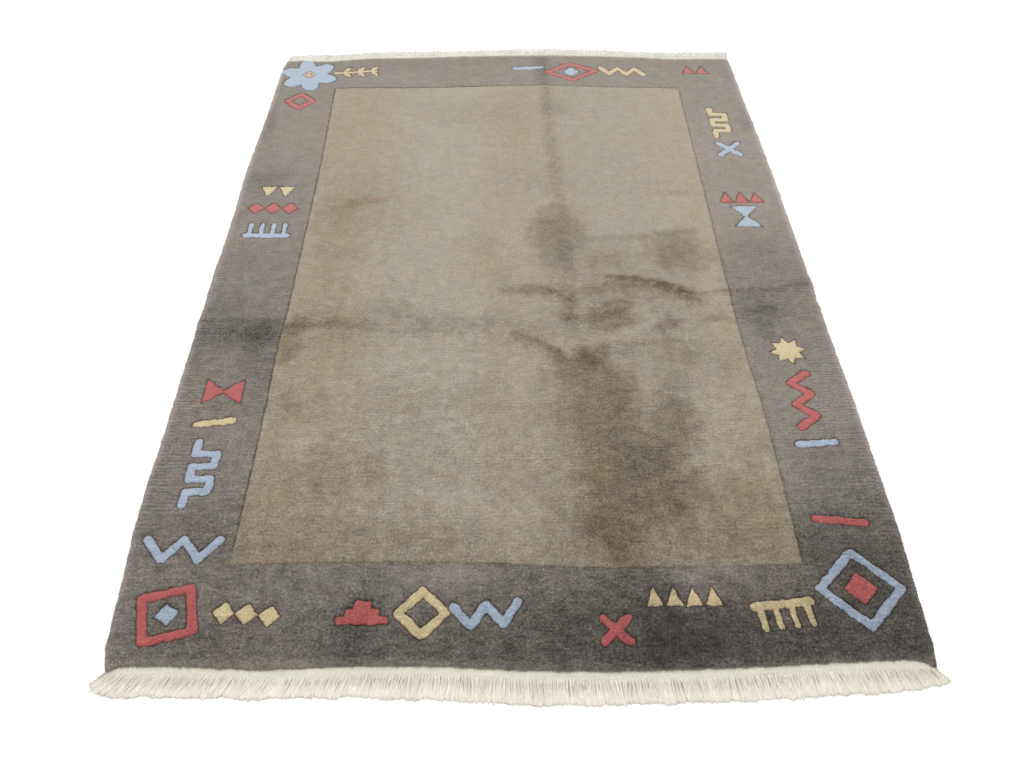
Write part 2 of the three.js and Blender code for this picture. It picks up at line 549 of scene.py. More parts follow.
def motif_distances(x, y):
    """For each colour, the signed distance of every knot to its nearest motif, below 0 inside."""
    knotted_x, knotted_y = displaced(x, y, KNOTTED_EDGE)
    fields = {colour: np.full(x.shape, FAR_AWAY) for colour in MOTIF_COLOURS}
    for motif in MOTIFS:
        for shape in motif["shapes"]:
            points = np.divide(shape["points"], PER_UNIT["mm"]).tolist()
            width = shape["width"] / PER_UNIT["mm"]
            reach = max(math.hypot(*point) for point in points) + LINE / PER_UNIT["mm"] + FAR_AWAY
            close = (np.abs(x - motif["x"]) < reach) & (np.abs(y - motif["y"]) < reach)
            px, py = turned(knotted_x[close] - motif["x"], knotted_y[close] - motif["y"], motif["turn"])
            if width:
                away = path_distance(px, py, points) - width / 2
            else:
                away = polygon_distance(px, py, points)
            field = fields[motif["colour"]]
            field[close] = np.minimum(field[close], away)
    return fields


# ---------- painted light and shade of the pile ---

# Painted light and shade: how bright the pile shows along the rug, for the field and the left and right
# border.
TONE_ALONG = table("y/mm field/% left/% right/%", [
    (-1200, 80, 82, 57),
    (-1050, 80, 82, 58),
    (-970, 84, 82, 64),
    (-900, 86.5, 81, 68),
    (-840, 90.5, 85, 76),
    (-780, 91, 89, 83),
    (-660, 93, 92, 92),
    (-480, 95, 91, 100),
    (-360, 96, 93, 97),
    (-160, 97, 92, 94),
    (0, 98, 95, 97),
    (160, 100, 99, 104),
    (320, 100, 99, 108),
    (640, 102, 105, 111),
    (1200, 105, 104, 107),
])
# The same for the near border from left to right, beside the field and at the rug's edge.
TONE_NEAR_END = table("x/mm inner/% outer/%", [
    (-850, 86, 82),
    (-660, 83, 75),
    (-500, 84, 77),
    (-420, 87, 76),
    (-340, 76, 65),
    (-260, 83, 71),
    (-180, 86, 72),
    (-80, 80, 69),
    (40, 77, 64),
    (140, 74, 62),
    (220, 67, 59),
    (300, 68, 50),
    (380, 77, 53),
    (460, 78, 57),
    (560, 76, 63),
    (640, 72, 59),
    (720, 60, 57),
    (850, 62, 57),
])
NEAR_END_STARTS = -0.925        # it takes over from here towards the near end
NEAR_END_SOFT = 0.070
NEAR_RIM_STARTS = -1.005        # and turns from its inner to its outer column from here
NEAR_RIM_SOFT = 0.100
SIDES_MEET = 1.2                # between the long borders it turns from left to right over this width
BORDER_WARM = 0.15
# Lengthwise zones of the field where the dye changed.
FIELD_DYE = table("x/mm tone/% warm/%", [
    (-620, 97, 50),
    (-540, 97, 75),
    (-470, 98, 70),
    (-400, 99, 30),
    (-300, 100, 5),
    (-120, 101, 10),
    (-60, 99, 40),
    (50, 100, 35),
    (200, 98, 15),
    (400, 99, 10),
    (550, 101, 40),
    (620, 102, 60),
])

# Painted shade: the broad dark band from the wrinkles to the near end, where the pile leans the other way.
DARK_BAND = table("y/mm left/mm right/mm tone/%", [
    (-980, 195, 270, -14),
    (-900, 158, 285, -18),
    (-840, 140, 400, -19),
    (-780, 150, 430, -21),
    (-720, 150, 415, -22),
    (-660, 150, 380, -21),
    (-600, 135, 335, -20),
    (-540, 120, 312, -20),
    (-480, 130, 298, -20),
    (-420, 100, 280, -20),
    (-360, 110, 232, -22),
    (-325, 165, 225, -24),
])
BAND_SOFT_LEFT = 0.100
BAND_SOFT_RIGHT = 0.120
BAND_SOFT_TOP = 0.050
BAND_WARM = 0.45
BAND_CLOUDS = 0.16              # how far clouds fray its edge

# Patches of painted shade and light where the pile leans another way, each also setting how brown the wool
# is.
FIELD_PATCHES = table("x/mm y/mm rx/mm ry/mm tone/% warm/% turn", [
    # the lengthwise fold
    (145, 178, 68, 98, -17, 90),
    (125, 305, 34, 22, 4, 30),
    (78, 170, 25, 70, -6, 80),
    (140, 55, 55, 65, -12, 30),
    (160, -45, 30, 60, -4, 10),
    # round the wrinkles
    (300, -80, 280, 170, -5, 20),
    (370, -85, 110, 50, -6, 50, -15),
    (495, 66, 85, 65, -16, 100),
    (480, 140, 85, 36, -8, 40, 8),
    (280, 45, 50, 45, -8, 70),
    (270, -98, 110, 20, -9, 90, 4),
    (515, -148, 34, 22, -10, 80),
    (190, -204, 55, 10, -7, 120, 6),
    (150, -202, 45, 22, -7, 40),
    (155, -250, 34, 36, -8, 10),
    (264, -196, 64, 46, -16, 60, 18),
    (430, -222, 28, 40, -7, 20),
    (60, -325, 60, 30, -3, 90, -30),
    (110, -340, 26, 24, -5, 110),
    (50, -250, 60, 26, -8, 20, -15),
    (80, -95, 70, 30, -5, 20),
    (550, -206, 55, 13, -10, 110),
    (600, -290, 60, 80, 3, 100),
    (250, -300, 70, 35, -5, 30),
    (440, -330, 55, 50, -6, 90),
    (580, -340, 40, 60, -4, 90),
    # inside and beside the dark band
    (200, -362, 36, 32, -17, 120),
    (150, -348, 24, 20, 8, 80),
    (200, -550, 50, 35, -2, 100),
    (270, -530, 35, 60, -4, 90),
    (402, -575, 54, 100, -20, 30),
    (275, -430, 36, 55, -9, 80),
    (485, -560, 30, 50, 4, 30),
    (125, -655, 28, 40, -7, 80),
    (195, -655, 36, 36, 8, 60),
    (400, -450, 45, 60, -5, 20),
    (300, -690, 55, 60, -8),
    (195, -720, 30, 50, 2, 120),
    (360, -820, 50, 24, -5, 120, -20),
    (300, -860, 22, 20, 7, 80),
    (378, -862, 34, 36, -9, 80),
    (200, -880, 40, 45, -10, 120),
    (238, -950, 25, 30, -5, 80),
    (520, -820, 100, 90, -7, 100),
    (600, -850, 30, 70, -6, 80),
    (90, -535, 45, 70, -8, 40),
    (-100, -500, 60, 50, -5, 20),
    (100, -900, 50, 60, -6, 30),
    (430, -350, 170, 90, -5, 20),
    (590, -680, 60, 60, -4, 60),
    (0, -900, 70, 60, 5, 20),
    (-120, -800, 80, 34, 7, 20),
    (78, -812, 34, 36, -8, 40),
    (480, -920, 220, 50, -5, 50),
    (-200, -890, 60, 50, -5, 40),
    # the field's left side
    (-450, 420, 100, 80, -3, 40),
    (-100, 100, 60, 60, -5, 40),
    (-400, 240, 130, 130, -3.5, 40),
    (-300, -500, 70, 60, -4.5, 30),
    (-420, -900, 200, 60, -4.5, 40),
    (-470, 300, 85, 22, -9, 120, 24),
    (-530, 230, 70, 120, -4, 90),
    (-520, -205, 100, 45, -5, 80),
    (-500, -232, 110, 16, -8, 100),
    (-605, -240, 26, 35, -18, 100),
    (-608, -325, 26, 60, -14, 110),
    (-490, -275, 110, 70, -5, 60),
    (-340, -175, 75, 32, -8, 10),
    (-180, -232, 200, 36, -10, 10),
    (-572, -505, 36, 46, -9, 60),
    (-530, -650, 44, 70, 7, 30),
    (-470, -520, 34, 50, -6, 30),
    (-515, 60, 95, 34, -6, 50),
    (-420, -720, 110, 70, -8, 50),
    (-80, -10, 70, 60, -1, 80),
    # the field's far part
    (510, 355, 80, 16, -5, 80),
    (400, 400, 180, 20, -2, 20),
    (30, 800, 60, 220, -2, 80),
    (160, 850, 55, 44, -8, 30),
    (-120, 800, 160, 80, -4, 30),
    (50, 430, 120, 90, -4, 30),
])
# Patches of painted shade and light in the border, each also setting how brown the wool is.
BORDER_PATCHES = table("x/mm y/mm rx/mm ry/mm tone/% warm/% turn", [
    (-688, -262, 75, 46, -27),
    (-815, -285, 60, 70, -13),
    (-660, -350, 55, 80, -12, 10),
    (-720, -480, 50, 60, -4, 10),
    (-800, -160, 60, 50, -6, 20),
    (-780, 410, 60, 65, -11, 20),
    (-835, 725, 34, 90, -10, 10),
    (835, 775, 34, 60, -8, 10),
    (-400, 1050, 110, 34, 6),
    (700, -118, 70, 24, -4),
    (-780, 50, 50, 60, -3, 10),
    (-700, -880, 50, 60, -5, 40),
    (695, -180, 45, 40, -14, 20),
    (690, -250, 40, 50, -11),
    (760, 10, 50, 60, -5),
    (730, 90, 60, 40, -7),
    (740, -590, 50, 30, -4),
    (730, -960, 60, 70, -5),
    (650, -790, 34, 130, 10),
    (130, 1100, 30, 110, -6, 10),
    (440, -1160, 300, 28, -5),
    (420, -998, 70, 36, 10),
    (-300, -992, 150, 36, 5),
    (-328, -1056, 40, 36, -13),
    (-110, -978, 60, 26, 17),
    (330, -985, 300, 20, 7),
    (350, -992, 36, 24, 10),
    (-330, -1130, 40, 60, -5),
])

# Strokes of painted shade and light along the creases, each with its own width above and below its path.
# Those with a depth are pressed into the pile too.
CREASE_LINES = table("path/mm above/mm below/mm tone/% depth/mm", [
    # the curved crease and its thin line out to the right border
    ([(274, -40), (310, -48), (352, -50)], 7, 11, -27, 1.6),
    ([(356, -51), (422, -71)], 10, 18, -15, 1.8),
    ([(432, -78), (466, -96), (498, -108)], 18, 24, -33, 2),
    ([(472, -124), (502, -130)], 10, 14, -10, 0.8),
    ([(515, -120), (600, -106)], 4, 5, -12, 1),
    ([(600, -104), (700, -104), (780, -90), (880, -66)], 9, 11, -14, 1.4),
    ([(690, -76), (760, -66), (880, -54)], 5, 5, -12, 0.8),
    ([(540, -140), (620, -134)], 9, 9, 5),
    ([(628, -184), (664, -186), (716, -166)], 10, 16, -15, 1),
    ([(730, -150), (870, -150)], 6, 6, -5, 0.5),
    # the arc at its left
    ([(-12, -104), (20, -100), (75, -98), (120, -108), (150, -138)], 24, 12, -15, 1),
    ([(10, -84), (60, -76), (110, -92)], 8, 12, -5),
    ([(30, -114), (90, -124), (135, -152)], 8, 8, -5),
    ([(166, -120), (160, -160), (150, -204)], 18, 18, -14, 0.8),
    ([(150, -207), (235, -197)], 5, 6, -9, 0.5),
    # the dark wrinkle between the creases, in strokes with light ones between
    ([(256, -154), (290, -147), (322, -141)], 8, 14, -17, 1),
    ([(250, -196), (300, -176), (324, -166)], 6, 7, -10),
    ([(226, -216), (290, -202), (330, -196)], 6, 6, -8, 0.5),
    ([(214, -246), (262, -250), (318, -222)], 12, 12, -14, 0.8),
    ([(336, -178), (380, -158)], 10, 14, 7),
    ([(215, -290), (300, -278), (352, -238), (410, -196)], 12, 14, 7),
    ([(404, -246), (440, -222)], 20, 20, -13, 0.5),
    ([(266, -298), (310, -308), (350, -303)], 6, 6, -14, 0.5),
    ([(340, -302), (430, -290)], 7, 7, -5),
    # the slanting crease above the dark band
    ([(4, -270), (50, -290), (92, -314), (122, -342)], 12, 21, -20, 1.3),
    ([(220, 130), (340, 136), (450, 152), (560, 172)], 12, 18, -9),
    # the lengthwise and crosswise folds
    ([(122, 1190), (135, 700), (150, 330)], 26, 24, -9, 0.6),
    ([(-870, -222), (-740, -226), (-600, -240), (-420, -248)], 15, 7, -9, 1.2),
    ([(-600, -135), (-450, -130)], 8, 8, -4),
    ([(600, -680), (602, -960)], 8, 8, 5),
    ([(-60, -840), (40, -830)], 30, 30, 4),
    ([(-480, -400), (-390, -740), (-300, -960)], 18, 18, 4),
])
CREASE_WARM = 0.9               # the colour turns browner along the deepest creases, with their painted shade
DEEPEST_CREASE = 0.0020

PATCH_FALL = 0.8                # how fast a patch fades outside its radii
PATCH_SHOULDER = 1.5            # and how flat it is inside them
PATCH_DYE = 0.8                 # share of a patch's own warmth in its middle
CLOUD_LENGTH = 0.120            # clouds in the dark band's edge, which are narrower across the rug
CLOUD_NARROWING = 2.4
CLOUD_TONE = 0.12
CREASE_STRENGTH = 0.9           # on average, and how far it varies along a crease
CREASE_VARIES = 0.25
# Unevenness of the patches' and of the creases' outlines: sizes, wavelengths and seeds.
PATCH_EDGE = [(0.010, 0.150, 41, 42), (0.008, 0.050, 43, 44), (0.004, 0.018, 45, 46)]
CREASE_EDGE = [(0.003, 0.030, 48, 49), (0.003, 0.009, 52, 53)]


def crease_weight(x, y, crease):
    """1 on a crease's path, falling off to its own width above and below it."""
    weight = np.zeros_like(x)
    for (ax, ay), (bx, by) in zip(crease["path"], crease["path"][1:]):
        above = ((bx - ax) * (y - ay) - (by - ay) * (x - ax)) > 0
        half_width = np.where(above, crease["above"], crease["below"])
        away = segment_distance(x, y, (ax, ay), (bx, by)) / half_width
        weight = np.maximum(weight, np.exp(-away ** 2))
    return weight


def add_patches(tone, warm, x, y, patches):
    """Paints shade and light into soft patches and sets how warm they are."""
    for patch in patches:
        u, v = turned(x - patch["x"], y - patch["y"], patch["turn"])
        weight = np.exp(-PATCH_FALL * ((u / patch["rx"]) ** 2 + (v / patch["ry"]) ** 2) ** PATCH_SHOULDER)
        tone = tone * (1 + patch["tone"] * weight)
        warm = blend(warm, patch["warm"], PATCH_DYE * weight)
    return tone, warm


def shade_field(x, y, cloud):
    """Brightness of the field, its dye zones with painted light and shade, and its warmth, at points
    already displaced.
    """
    tone = look_up(TONE_ALONG, "field", y) * look_up(FIELD_DYE, "tone", x)
    depth = np.minimum.reduce([
        (x - look_up(DARK_BAND, "left", y)) / BAND_SOFT_LEFT,
        (look_up(DARK_BAND, "right", y) - x) / BAND_SOFT_RIGHT,
        (DARK_BAND[-1]["y"] - y) / BAND_SOFT_TOP,
    ])
    inside = soft_step(depth + 0.5 + BAND_CLOUDS * cloud)
    tone *= 1 + (look_up(DARK_BAND, "tone", y) + CLOUD_TONE * BAND_CLOUDS * cloud) * inside
    warm = blend(look_up(FIELD_DYE, "warm", x), BAND_WARM, inside)
    return add_patches(tone, warm, x, y, FIELD_PATCHES)


def shade_border(x, y, rightness, warm):
    """Brightness of the border as painted light and shade, and its warmth, at points already displaced."""
    tone = blend(look_up(TONE_ALONG, "left", y), look_up(TONE_ALONG, "right", y), rightness)
    near_tone = blend(look_up(TONE_NEAR_END, "inner", x), look_up(TONE_NEAR_END, "outer", x),
                      soft_step((NEAR_RIM_STARTS - y) / NEAR_RIM_SOFT))
    tone = blend(tone, near_tone, soft_step((NEAR_END_STARTS - y) / NEAR_END_SOFT))
    return add_patches(tone, warm, x, y, BORDER_PATCHES)


def shade_pile(x, y, in_field):
    """Brightness of the pile as it shows, around 1, from the dye and from painted light and shade; and how
    warm its colour is, from 0 to about 1.
    """
    uneven_x, uneven_y = displaced(x, y, PATCH_EDGE)
    field = shade_field(uneven_x, uneven_y, smooth_noise(CLOUD_NARROWING * x, y, 50, CLOUD_LENGTH))
    border = shade_border(uneven_x, uneven_y, soft_step(x / SIDES_MEET + 0.5),
                          BORDER_WARM + BORDER_WARM * smooth_noise(x, y, 47, 0.40))
    tone, warm = np.where(in_field, field, border)
    crease_x, crease_y = displaced(x, y, CREASE_EDGE)
    patchy = CREASE_STRENGTH + CREASE_VARIES * smooth_noise(x, y, 54, 0.022)
    for crease in CREASE_LINES:
        weight = crease_weight(crease_x, crease_y, crease)
        tone = tone * (1 + crease["tone"] * patchy * weight)
        warm = blend(warm, CREASE_WARM, weight * crease["depth"] / DEEPEST_CREASE)
    return tone, warm


def crease_depth(x, y):
    return np.maximum.reduce([crease["depth"] * crease_weight(x, y, crease)
                              for crease in CREASE_LINES if crease["depth"]])


# ---------- meshes ----------

CLOSED_RIM = [(0, 0), (0, 1), (1, 1), (1, 0), (0, 0)]


def add_object(name, data):
    made = bpy.data.objects.new(name, data)
    bpy.context.scene.collection.objects.link(made)
    return made


def new_piece(name, points, faces, material, uv, values=None):
    """One mesh object from arrays: points by 3, and quads or triangles as rows of point numbers."""
    mesh = bpy.data.meshes.new(name)
    faces = np.asarray(faces, np.int32)
    mesh.vertices.add(len(points))
    mesh.vertices.foreach_set("co", np.asarray(points, np.float32).ravel())
    mesh.loops.add(faces.size)
    mesh.loops.foreach_set("vertex_index", faces.ravel())
    mesh.polygons.add(len(faces))
    mesh.polygons.foreach_set("loop_start", np.arange(0, faces.size, faces.shape[1], dtype=np.int32))
    mesh.polygons.foreach_set("use_smooth", np.ones(len(faces), bool))
    for key, value in (values or {}).items():
        attribute = mesh.attributes.new(key, "FLOAT", "POINT")
        attribute.data.foreach_set("value", value.astype(np.float32).ravel())
    bake_map = mesh.uv_layers.new(name="OFBake")
    bake_map.uv.foreach_set("vector", np.asarray(uv, np.float32)[faces.ravel()].ravel())
    mesh.update(calc_edges=True)
    mesh.materials.append(material)
    piece = add_object(name, mesh)
    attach(piece, "root")
    return piece


def quads_between(line, beside):
    """Quads between lines of point numbers and the lines beside them."""
    return np.stack([line[:-1], beside[:-1], beside[1:], line[1:]], -1).reshape(-1, 4)


def grid_quads(number):
    """Quads of a grid of point numbers, facing up where its rows run +Y and its columns +X."""
    return quads_between(number[:, :-1], number[:, 1:])


def tube_quads(number):
    """Quads round a tube, whose points are numbered by ring and then by side."""
    return quads_between(number, np.roll(number, -1, 1))


def numbered(*shape):
    return np.arange(math.prod(shape)).reshape(shape)


def repeat_faces(faces, count, point_count):
    """The faces of one strand or tuft, for as many as there are."""
    return (faces[None] + np.arange(count)[:, None, None] * point_count).reshape(-1, faces.shape[1])


def grid_uv(row_count, column_count, margin=0.0):
    """Bake map of such a grid, within a margin."""
    v, u = np.meshgrid(np.linspace(0, 1, row_count), np.linspace(0, 1, column_count), indexing="ij")
    return np.stack([u.ravel(), v.ravel()], 1) * (1 - 2 * margin) + margin


def grid_path(corners, row_count, column_count):
    """Point numbers along straight runs of a grid between corners given as shares (row, column)."""
    ends = np.array(corners) * (row_count - 1, column_count - 1)
    path = [ends[:1]]
    for start, end in zip(ends, ends[1:]):
        count = int(np.abs(end - start).max())
        path.append(np.rint(start + (end - start) * np.arange(1, count + 1)[:, None] / count))
    row, column = np.concatenate(path).astype(int).T
    return row * column_count + column


UV_MARGIN = 0.02                # share of a piece's bake map kept for its edge wall
UV_RIM = 0.5 - 1.5 * UV_MARGIN  # rim points lie further than this from the map's middle
UV_WALL = 0.9                   # share of the margin that the wall takes up

# Cut side of the pile, from its rim down to the floor. The tufts splay out a little.
EDGE_WALL = table("down/% out/mm", [
    (22, 0.8),
    (45, 1.3),
    (70, 1.0),
    (97, 0.2),
])
# The field's rim only has to reach under the border's.
FIELD_WALL = table("down/% out/mm", [
    (80, 1.2),
])
RAGGED_FROM = 0.0005            # levels of the wall that splay more than this are ragged
RAGGED = (-0.0005, 0.0007)


def cut_side_painted_tone(tone, down):
    """Brightness at a share of the way down a cut side, from the rim's own to the cut sides' painted light.
    """
    return blend(tone, CUT_SIDE_PAINTED_LIGHT, down)


def add_wall(points, uv, values, path, profile, rng):
    """Adds the strip that hangs from a path of points, which runs so that the outside is on its right."""
    rim = points[path]
    closed = path[0] == path[-1]
    ahead = np.gradient(rim[:, :2], axis=0)
    if closed:
        ahead[[0, -1]] = rim[1, :2] - rim[-2, :2]
    outside = unit(right_of(ahead))
    from_middle = uv[path] - 0.5
    map_out = np.sign(from_middle) * (np.abs(from_middle) > UV_RIM) * UV_MARGIN * UV_WALL / len(profile)

    faces = []
    above = path
    for level, step in enumerate(profile, 1):
        spread = np.full((len(path), 1), step["out"])
        if step["out"] > RAGGED_FROM:
            spread[:, 0] += rng.uniform(*RAGGED, len(path))
        if closed:
            spread[-1] = spread[0]
        height = blend(rim[:, 2], values["lift"][path], step["down"])
        below = np.arange(len(points), len(points) + len(path))
        points = np.vstack([points, np.column_stack([rim[:, :2] + outside * spread, height])])
        uv = np.vstack([uv, uv[path] + map_out * level])
        hanging = {key: value[path] for key, value in values.items()}
        hanging["tone"] = cut_side_painted_tone(hanging["tone"], step["down"])
        values = {key: np.append(value, hanging[key]) for key, value in values.items()}
        faces.append(quads_between(above, below))
        above = below
    return points, uv, values, np.vstack(faces)


def pile_piece(name, row_range, column_range, step, corners, profile, material, keys):
    """Cuts one piece out of the grid of knots and hangs its cut sides on it."""
    rows = slice(row_range[0], row_range[1] + 1, step)
    columns = slice(column_range[0], column_range[1] + 1, step)
    row_count, column_count = knots["x"][rows, columns].shape
    values = {key: knots[key][rows, columns].ravel() for key in ("x", "y", "z", "lift", *keys)}
    points = np.stack([values.pop(key) for key in ("x", "y", "z")], -1)
    path = grid_path(corners, row_count, column_count)
    rng = np.random.default_rng(len(name) + row_count)
    uv = grid_uv(row_count, column_count, UV_MARGIN)
    points, uv, values, wall = add_wall(points, uv, values, path, profile, rng)
    del values["lift"]
    faces = np.vstack([grid_quads(numbered(row_count, column_count)), wall])
    return new_piece(name, points, faces, material, uv, values)


def knot_numbers():
    """Row and column number of every knot."""
    return np.indices((ROW_BREAKS[-1] + 1, COLUMN_BREAKS[-1] + 1))


def field_distance():
    """Signed distance of every knot to the carved line round the field, below 0 inside."""
    beyond = []
    for breaks, number in zip((ROW_BREAKS, COLUMN_BREAKS), knot_numbers()):
        middle = (breaks[1] + breaks[2]) / 2 * KNOT_PITCH
        beyond.append(np.abs(number * KNOT_PITCH - middle) - (breaks[2] - breaks[1]) * KNOT_PITCH / 2)
    outside = np.hypot(*np.maximum(beyond, 0))
    return np.where(outside > 0, outside, np.maximum(*beyond))


def rim_distance():
    """Distance of every knot to the rug's edge."""
    row, column = knot_numbers()
    return np.minimum.reduce([row, row[::-1], column, column[:, ::-1]]) * KNOT_PITCH


def make_knots():
    """Place, height and shade of every knot of the rug, and its distances to the carved lines in mm."""
    x, y = place_grid()
    lift = fold_lift(x, y)
    motifs = motif_distances(x, y)
    field = field_distance()
    to_rim = rim_distance()
    rng = np.random.default_rng(5)

    carved = FIELD_CARVE * np.exp(-(field / CARVE_HALF_WIDTH) ** 2)
    for distance in motifs.values():
        off = (distance - MOTIF_CARVE_OFF) / CARVE_HALF_WIDTH
        carved = np.maximum(carved, MOTIF_CARVE * np.exp(-off ** 2))
    puff = MOTIF_PUFF * np.clip(-np.minimum.reduce([*motifs.values()]) / PUFF_WIDTH, 0, 1)
    z = (PILE_TOP + lift + puff - carved - EDGE_DROP * np.clip(1 - to_rim / EDGE_ROUND, 0, 1) ** 2
         - crease_depth(x, y) + SURFACE_SWELL * smooth_noise(x, y, 51, 0.06)
         + rng.normal(0, TUFT_JITTER, x.shape))
    x = x + rng.normal(0, KNOT_JITTER, x.shape)
    y = y + rng.normal(0, KNOT_JITTER, x.shape)
    tone, warm = shade_pile(x, y, field < 0)
    # painted light along the rug's edge
    tone = tone * (1 + RIM_LIGHT * np.clip(1 - to_rim / RIM_LIGHT_WIDTH, 0, 1))
    distances = {key: distance * PER_UNIT["mm"] for key, distance in {"field": field, **motifs}.items()}
    return {"x": x, "y": y, "z": z, "lift": lift, "tone": tone, "warm": warm, **distances}


# ---------- materials ----------

def srgb(*display):
    """Linear colour from display values between 0 and 255."""
    def linear(share):
        return share / 12.92 if share <= 0.04045 else ((share + 0.055) / 1.055) ** 2.4
    return (*[linear(value / 255) for value in display], 1.0)


WHITE = (1.0, 1.0, 1.0, 1.0)
FIELD_SHADES = (srgb(171, 164, 146), srgb(172, 155, 131))       # greyer and browner wool
BORDER_SHADES = (srgb(144, 137, 129), srgb(146, 134, 122))
# The motifs' wool, which painted light makes paler towards the far end.
MOTIF_WOOL = table("name near far", [
    ("blue", srgb(170, 183, 202), srgb(183, 195, 210)),
    ("red", srgb(187, 99, 96), srgb(192, 124, 117)),
    ("cream", srgb(211, 192, 152), srgb(217, 201, 167)),
])
COTTON = {"near": srgb(252, 246, 232), "far": srgb(247, 244, 234)}
COTTON_WEB = {"near": srgb(235, 232, 217), "far": srgb(225, 223, 209)}
PAINTED_SHADE_TINT = (1.0, 0.94, 0.82, 1.0)      # the pile's painted shade is tinted yellower
GAP_SHADE_TINT = (1.0, 0.93, 0.82, 1.0)       # painted shade between loose yarns is tinted warmer
GREENER = (0.985, 1.008, 0.990, 1.0)
ROSIER = (1.015, 0.992, 1.000, 1.0)
CARVED_SHADE_TINT = (0.44, 0.34, 0.29, 1.0)   # painted shade down in the clipped grooves, dark and brown
DISPLAY_GAMMA = 2.2

WOOL_FINISH = {"roughness": 0.92, "specular": 0.18, "sheen": 0.22, "sheen_roughness": 0.55,
               "bump": 0.6, "bump_depth": 0.0016}
COTTON_FINISH = {"roughness": 0.85, "specular": 0.25, "sheen": 0.15, "bump": 0.4, "bump_depth": 0.0006}
BACK_FINISH = {"roughness": 0.9, "specular": 0.2, "bump": 0.5, "bump_depth": 0.0010}

# Uneven layers of the wool: rows of knots, single tufts and loose fibre among them. Each is a noise with a
# size in mm, which makes the wool darker at its low value and lighter at its high one, and lifts the bump.
WOOL_LAYERS = table("name size detail roughness distortion low high dark light lift", [
    ("rows", (22, 6.2, 30), 2, 0.60, 0, 0.30, 0.62, -0.034, 0.015, 0.40),
    ("tufts", (6.2, 5.8, 6.2), 2, 0.65, 0, 0.30, 0.66, -0.080, 0.046, 1.00),
    ("clouds", (32, 24, 40), 4, 0.70, 0.4, 0.25, 0.75, -0.070, 0.070),
    ("streaks", (22, 160, 50), 3, 0.60, 0, 0.25, 0.75, -0.020, 0.020),
    ("fibre", (2.6, 2.8, 2.6), 1, 0.70, 0, 0.20, 0.80, -0.085, 0.085, 0.45),
    ("flecks", (4.2, 4.2, 4.2), 1, 0.50, 0, 0.60, 0.72, 0, 0.085),
])
RIB_PITCH = 0.0097
RIB_BEND = 9.0                  # how far the ribs waver, as an angle of their wave
# the ribs' brightness is painted light and shade of their relief, added to their bump
RIB_SHADE = 0.034
RIB_LIFT = 0.12
MEAN_TONE = 1.02                # of the wool's texture
BORDER_CONTRAST = 1.28          # of the border's texture against the field's
MOTIF_SMOOTHER = 0.70           # and how much less of it the motifs show
COTTON_STREAKS = 0.05           # how much lighter and darker a streak is
COTTON_CLOUDS = 0.03


class Nodes:
    """The emptied node tree of a material or world. Values are numbers, colours or other nodes' outputs."""

    def __init__(self, owner):
        owner.use_nodes = True
        self.tree = owner.node_tree
        self.tree.nodes.clear()

    def add(self, kind, inputs, output=0, **settings):
        """One output of a new node with its settings, and its inputs set or linked to their values."""
        node = self.tree.nodes.new("ShaderNode" + kind)
        for key, value in settings.items():
            setattr(node, key, value)
        for key, value in inputs.items():
            if isinstance(value, bpy.types.NodeSocket):
                self.tree.links.new(value, node.inputs[key])
            else:
                node.inputs[key].default_value = value
        return node.outputs[output] if len(node.outputs) else None

    def maths(self, operation, *values):
        """The values combined in turn by one operation."""
        return functools.reduce(lambda a, b: self.add("Math", {0: a, 1: b}, operation=operation), values)

    def plus(self, *values):
        return self.maths("ADD", *values)

    def times(self, *values):
        return self.maths("MULTIPLY", *values)

    def mix(self, factor, a, b, blend_type="MIX"):
        """Colour between a and b. A mix node's colours are its inputs 6 and 7 and its output 2."""
        return self.add("Mix", {0: factor, 6: a, 7: b}, 2, data_type="RGBA", blend_type=blend_type)

    def tinted(self, colour, tint, share=1.0):
        return self.mix(share, colour, tint, "MULTIPLY")

    def scaled(self, colour, factor):
        """Colour times a number."""
        if not isinstance(colour, bpy.types.NodeSocket):
            colour = colour[:3]
        return self.add("VectorMath", {0: colour, "Scale": factor}, operation="SCALE")

    def ramp(self, value, from_low, from_high, to_low, to_high, shape="LINEAR"):
        """The value's range from low to high spread over another, and held at its ends beyond."""
        inputs = {0: value, 1: from_low, 2: from_high, 3: to_low, 4: to_high}
        return self.add("MapRange", inputs, interpolation_type=shape)

    def attribute(self, name):
        return self.add("Attribute", {}, "Fac", attribute_name=name)

    def place(self):
        return self.add("TexCoord", {}, "Object")

    def easting(self):
        """How far across the rug a point lies, in metres from its middle."""
        return self.add("SeparateXYZ", {0: self.place()}, "X")

    def northing(self):
        """How far along the rug a point lies, in metres from its middle."""
        return self.add("SeparateXYZ", {0: self.place()}, "Y")

    def noise(self, size, detail=2.0, roughness=0.55, distortion=0.0):
        """Uneven values between 0 and 1, with a size in mm along each axis."""
        scale = tuple(PER_UNIT["mm"] / part for part in size)
        place = self.add("VectorMath", {0: self.place(), 1: scale}, operation="MULTIPLY")
        inputs = {"Vector": place, "Scale": 1.0, "Detail": detail,
                  "Roughness": roughness, "Distortion": distortion}
        return self.add("TexNoise", inputs, "Fac")

    def surface(self, colour, height, roughness, specular, bump, bump_depth,
                sheen=0.0, sheen_roughness=0.5):
        """Ends the tree in one shader."""
        normal = self.add("Bump", {"Strength": bump, "Distance": bump_depth, "Height": height})
        shader = self.add("BsdfPrincipled", {
            "Base Color": colour, "Roughness": roughness, "Specular IOR Level": specular,
            "Sheen Weight": sheen, "Sheen Roughness": sheen_roughness, "Normal": normal})
        self.add("OutputMaterial", {"Surface": shader})


def new_material(name):
    material = bpy.data.materials.new(name)
    return material, Nodes(material)


